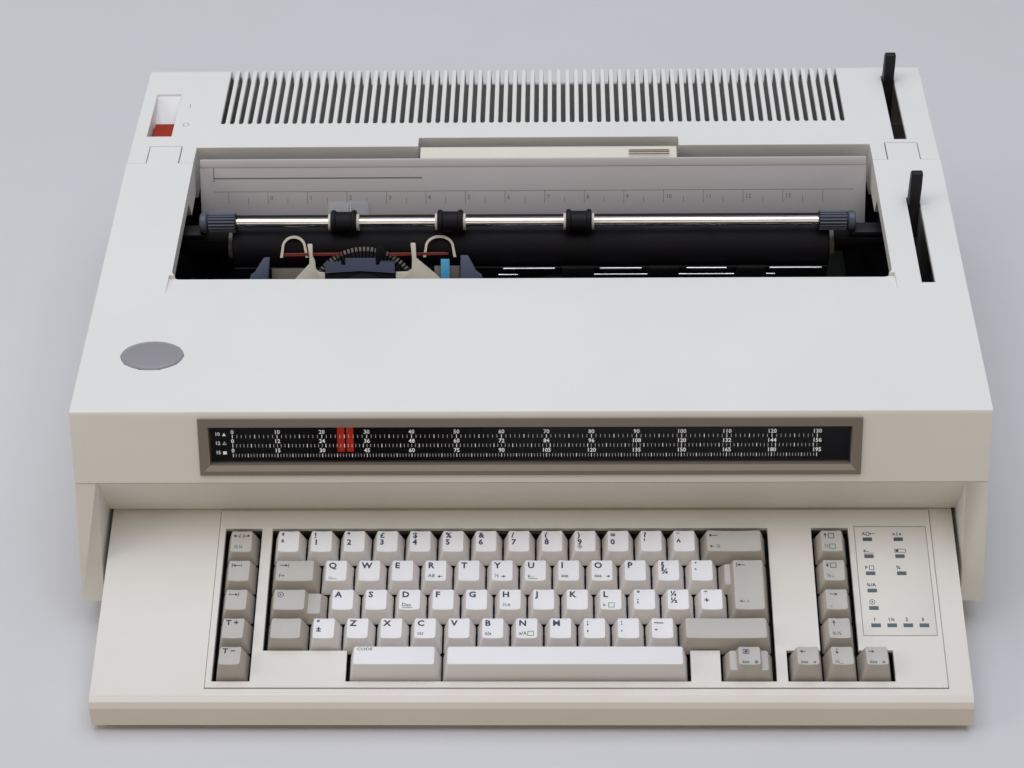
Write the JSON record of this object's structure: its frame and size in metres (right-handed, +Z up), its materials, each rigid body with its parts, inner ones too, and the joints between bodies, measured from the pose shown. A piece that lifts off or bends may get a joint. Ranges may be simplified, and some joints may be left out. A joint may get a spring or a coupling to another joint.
{
  "type": "typewriter",
  "caption": "Desk-top electric typewriter with a sloping keyboard, opening top cover, platen and paper bail, print wheel carriage and vented rear housing.",
  "frame": {"origin": "under the middle of the machine, on the table", "axes": "+X to the right of the typist, +Y to the back, +Z up"},
  "size_m": [0.524, 0.462, 0.163],
  "materials": {
    "pearl_plastic": "fine moulded texture, pearl off-white",
    "pan_plastic": "plain moulded",
    "keyboard_plastic": "fine moulded texture, warm off-white",
    "key_white": "satin moulded with printed legends",
    "key_grey": "satin moulded with printed legends",
    "taupe_plastic": "satin moulded",
    "support_plastic": "fine moulded texture, mid grey",
    "black_plastic": "satin moulded",
    "carriage_plastic": "satin moulded, blue grey",
    "red_plastic": "smooth moulded, orange red",
    "smoked_lens": "polished, smoked, printed scales",
    "clear_plastic": "clear moulded",
    "rubber": "ground smooth",
    "chrome": "polished",
    "frame_steel": "zinc plated sheet",
    "badge_metal": "satin, blank",
    "board_plastic": "lacquered circuit board"
  },
  "bodies": {
    "machine": {"base_pan": "pan_plastic", "lower_housing": "pearl_plastic", "rear_housing": "pearl_plastic", "keyboard_case": "keyboard_plastic", "keyboard_bezel": "keyboard_plastic", "indicator_panel": "keyboard_plastic", "key_plate": "black_plastic", "paper_support": "support_plastic", "paper_deflector": "black_plastic", "side_frame_left": "frame_steel", "side_frame_right": "frame_steel", "carriage_rod": "chrome", "circuit_board": "board_plastic", "power_supply": "frame_steel", "foot_left": "rubber", "foot_right": "rubber"},
    "cover": {"top_cover": "pearl_plastic", "badge": "badge_metal", "window_frame": "taupe_plastic", "scale_window": "smoked_lens"},
    "bail": {"bail_rod": "chrome"},
    "bail_roller_1": {"bail_roller_1": "rubber"},
    "bail_roller_2": {"bail_roller_2": "rubber"},
    "bail_roller_3": {"bail_roller_3": "rubber"},
    "bail_lever": {"bail_lever": "black_plastic"},
    "release_lever": {"release_lever": "black_plastic"},
    "feed_roller": {"feed_roller": "rubber"},
    "platen": {"platen": "rubber"},
    "carriage": {"carriage": "carriage_plastic", "ribbon_cartridge": "black_plastic", "position_pointer": "red_plastic"},
    "print_wheel": {"print_wheel": "black_plastic"},
    "card_guide": {"card_guide": "clear_plastic"},
    "paper_rest": {"paper_rest": "support_plastic"},
    "power_switch": {"power_switch": "red_plastic"},
    "keys_number_row": {"keys_number_row": "key_white"},
    "keys_upper_row": {"keys_upper_row": "key_white"},
    "keys_home_row": {"keys_home_row": "key_white"},
    "keys_lower_row": {"keys_lower_row": "key_white"},
    "key_backspace": {"key_backspace": "key_grey"},
    "key_tab": {"key_tab": "key_grey"},
    "key_shift_left": {"key_shift_left": "key_grey"},
    "key_shift_right": {"key_shift_right": "key_grey"},
    "key_code": {"key_code": "key_white"},
    "key_space": {"key_space": "key_white"},
    "key_lock": {"key_lock": "key_grey"},
    "key_return": {"key_return": "key_grey"},
    "key_erase": {"key_erase": "key_grey"},
    "key_tab_set": {"key_tab_set": "key_grey"},
    "key_margin_left": {"key_margin_left": "key_grey"},
    "key_margin_right": {"key_margin_right": "key_grey"},
    "key_tab_add": {"key_tab_add": "key_grey"},
    "key_tab_clear": {"key_tab_clear": "key_grey"},
    "key_paper_up": {"key_paper_up": "key_grey"},
    "key_paper_down": {"key_paper_down": "key_grey"},
    "key_half_space": {"key_half_space": "key_grey"},
    "key_line_up": {"key_line_up": "key_grey"},
    "key_cursor_left": {"key_cursor_left": "key_grey"},
    "key_line_down": {"key_line_down": "key_grey"},
    "key_cursor_right": {"key_cursor_right": "key_grey"}
  },
  "joints": [
    {"name": "cover_hinge", "type": "hinge", "parent": "machine", "child": "cover", "pos_m": [0, 0.1162, 0.1419], "axis": [-1, 0, 0], "range_deg": [0, 62]},
    {"name": "bail_hinge", "type": "hinge", "parent": "machine", "child": "bail", "pos_m": [0, 0.096, 0.096], "axis": [-1, 0, 0], "range_deg": [0, 16]},
    {"name": "bail_lever_hinge", "type": "hinge", "parent": "machine", "child": "bail_lever", "pos_m": [0.237, 0.045, 0.058], "axis": [1, 0, 0], "range_deg": [0, 44]},
    {"name": "release_lever_hinge", "type": "hinge", "parent": "machine", "child": "release_lever", "pos_m": [0.237, 0.181, 0.058], "axis": [1, 0, 0], "range_deg": [0, 40]},
    {"name": "feed_hinge", "type": "hinge", "parent": "machine", "child": "feed_roller", "pos_m": [0, 0.061, 0.048], "axis": [1, 0, 0], "range_deg": [0, 3]},
    {"name": "platen_spin", "type": "hinge", "parent": "machine", "child": "platen", "pos_m": [0, 0.0765, 0.1061], "axis": [1, 0, 0], "continuous": true},
    {"name": "bail_roller_1_spin", "type": "hinge", "parent": "bail", "child": "bail_roller_1", "pos_m": [-0.117, 0.06684, 0.13137], "axis": [1, 0, 0], "continuous": true},
    {"name": "bail_roller_2_spin", "type": "hinge", "parent": "bail", "child": "bail_roller_2", "pos_m": [-0.0505, 0.06684, 0.13137], "axis": [1, 0, 0], "continuous": true},
    {"name": "bail_roller_3_spin", "type": "hinge", "parent": "bail", "child": "bail_roller_3", "pos_m": [0.0295, 0.06684, 0.13137], "axis": [1, 0, 0], "continuous": true},
    {"name": "carriage_slide", "type": "slide", "parent": "machine", "child": "carriage", "axis": [1, 0, 0], "range_m": [-0.0635, 0.258]},
    {"name": "print_wheel_spin", "type": "hinge", "parent": "carriage", "child": "print_wheel", "pos_m": [-0.1046, 0.03954, 0.08818], "axis": [0, -0.866, 0.5], "continuous": true},
    {"name": "card_guide_slide", "type": "slide", "parent": "machine", "child": "card_guide", "axis": [1, 0, 0], "range_m": [-0.07, 0.033]},
    {"name": "paper_rest_slide", "type": "slide", "parent": "machine", "child": "paper_rest", "axis": [0, 0.5, 0.866], "range_m": [0, 0.055]},
    {"name": "power_switch_rocker", "type": "hinge", "parent": "machine", "child": "power_switch", "pos_m": [-0.2428, 0.1615, 0.1296], "axis": [1, 0, 0], "range_deg": [0, 10]},
    {"name": "keys_number_row_travel", "type": "slide", "parent": "machine", "child": "keys_number_row", "axis": [0, 0.2521, -0.9677], "range_m": [0, 0.0035], "stiffness_N_per_m": 220, "springref_m": -0.005},
    {"name": "keys_upper_row_travel", "type": "slide", "parent": "machine", "child": "keys_upper_row", "axis": [0, 0.2521, -0.9677], "range_m": [0, 0.0035], "stiffness_N_per_m": 220, "springref_m": -0.005},
    {"name": "keys_home_row_travel", "type": "slide", "parent": "machine", "child": "keys_home_row", "axis": [0, 0.2521, -0.9677], "range_m": [0, 0.0035], "stiffness_N_per_m": 220, "springref_m": -0.005},
    {"name": "keys_lower_row_travel", "type": "slide", "parent": "machine", "child": "keys_lower_row", "axis": [0, 0.2521, -0.9677], "range_m": [0, 0.0035], "stiffness_N_per_m": 220, "springref_m": -0.005},
    {"name": "key_backspace_travel", "type": "slide", "parent": "machine", "child": "key_backspace", "axis": [0, 0.2521, -0.9677], "range_m": [0, 0.0035], "stiffness_N_per_m": 120, "springref_m": -0.004},
    {"name": "key_tab_travel", "type": "slide", "parent": "machine", "child": "key_tab", "axis": [0, 0.2521, -0.9677], "range_m": [0, 0.0035], "stiffness_N_per_m": 120, "springref_m": -0.004},
    {"name": "key_shift_left_travel", "type": "slide", "parent": "machine", "child": "key_shift_left", "axis": [0, 0.2521, -0.9677], "range_m": [0, 0.0035], "stiffness_N_per_m": 120, "springref_m": -0.004},
    {"name": "key_shift_right_travel", "type": "slide", "parent": "machine", "child": "key_shift_right", "axis": [0, 0.2521, -0.9677], "range_m": [0, 0.0035], "stiffness_N_per_m": 120, "springref_m": -0.004},
    {"name": "key_code_travel", "type": "slide", "parent": "machine", "child": "key_code", "axis": [0, 0.2521, -0.9677], "range_m": [0, 0.0035], "stiffness_N_per_m": 120, "springref_m": -0.004},
    {"name": "key_space_travel", "type": "slide", "parent": "machine", "child": "key_space", "axis": [0, 0.2521, -0.9677], "range_m": [0, 0.0035], "stiffness_N_per_m": 220, "springref_m": -0.005},
    {"name": "key_lock_travel", "type": "slide", "parent": "machine", "child": "key_lock", "axis": [0, 0.2521, -0.9677], "range_m": [0, 0.0035], "stiffness_N_per_m": 120, "springref_m": -0.004},
    {"name": "key_return_travel", "type": "slide", "parent": "machine", "child": "key_return", "axis": [0, 0.2521, -0.9677], "range_m": [0, 0.0035], "stiffness_N_per_m": 120, "springref_m": -0.004},
    {"name": "key_erase_travel", "type": "slide", "parent": "machine", "child": "key_erase", "axis": [0, 0.2521, -0.9677], "range_m": [0, 0.0035], "stiffness_N_per_m": 120, "springref_m": -0.004},
    {"name": "key_tab_set_travel", "type": "slide", "parent": "machine", "child": "key_tab_set", "axis": [0, 0.2521, -0.9677], "range_m": [0, 0.0035], "stiffness_N_per_m": 120, "springref_m": -0.004},
    {"name": "key_margin_left_travel", "type": "slide", "parent": "machine", "child": "key_margin_left", "axis": [0, 0.2521, -0.9677], "range_m": [0, 0.0035], "stiffness_N_per_m": 120, "springref_m": -0.004},
    {"name": "key_margin_right_travel", "type": "slide", "parent": "machine", "child": "key_margin_right", "axis": [0, 0.2521, -0.9677], "range_m": [0, 0.0035], "stiffness_N_per_m": 120, "springref_m": -0.004},
    {"name": "key_tab_add_travel", "type": "slide", "parent": "machine", "child": "key_tab_add", "axis": [0, 0.2521, -0.9677], "range_m": [0, 0.0035], "stiffness_N_per_m": 120, "springref_m": -0.004},
    {"name": "key_tab_clear_travel", "type": "slide", "parent": "machine", "child": "key_tab_clear", "axis": [0, 0.2521, -0.9677], "range_m": [0, 0.0035], "stiffness_N_per_m": 120, "springref_m": -0.004},
    {"name": "key_paper_up_travel", "type": "slide", "parent": "machine", "child": "key_paper_up", "axis": [0, 0.2521, -0.9677], "range_m": [0, 0.0035], "stiffness_N_per_m": 120, "springref_m": -0.004},
    {"name": "key_paper_down_travel", "type": "slide", "parent": "machine", "child": "key_paper_down", "axis": [0, 0.2521, -0.9677], "range_m": [0, 0.0035], "stiffness_N_per_m": 120, "springref_m": -0.004},
    {"name": "key_half_space_travel", "type": "slide", "parent": "machine", "child": "key_half_space", "axis": [0, 0.2521, -0.9677], "range_m": [0, 0.0035], "stiffness_N_per_m": 120, "springref_m": -0.004},
    {"name": "key_line_up_travel", "type": "slide", "parent": "machine", "child": "key_line_up", "axis": [0, 0.2521, -0.9677], "range_m": [0, 0.0035], "stiffness_N_per_m": 120, "springref_m": -0.004},
    {"name": "key_cursor_left_travel", "type": "slide", "parent": "machine", "child": "key_cursor_left", "axis": [0, 0.2521, -0.9677], "range_m": [0, 0.0035], "stiffness_N_per_m": 120, "springref_m": -0.004},
    {"name": "key_line_down_travel", "type": "slide", "parent": "machine", "child": "key_line_down", "axis": [0, 0.2521, -0.9677], "range_m": [0, 0.0035], "stiffness_N_per_m": 120, "springref_m": -0.004},
    {"name": "key_cursor_right_travel", "type": "slide", "parent": "machine", "child": "key_cursor_right", "axis": [0, 0.2521, -0.9677], "range_m": [0, 0.0035], "stiffness_N_per_m": 120, "springref_m": -0.004}
  ],
  "couplings": [
    {"joint": "bail_hinge", "follows": "bail_lever_hinge", "ratio": 0.36364},
    {"joint": "feed_hinge", "follows": "release_lever_hinge", "ratio": 0.075}
  ]
}
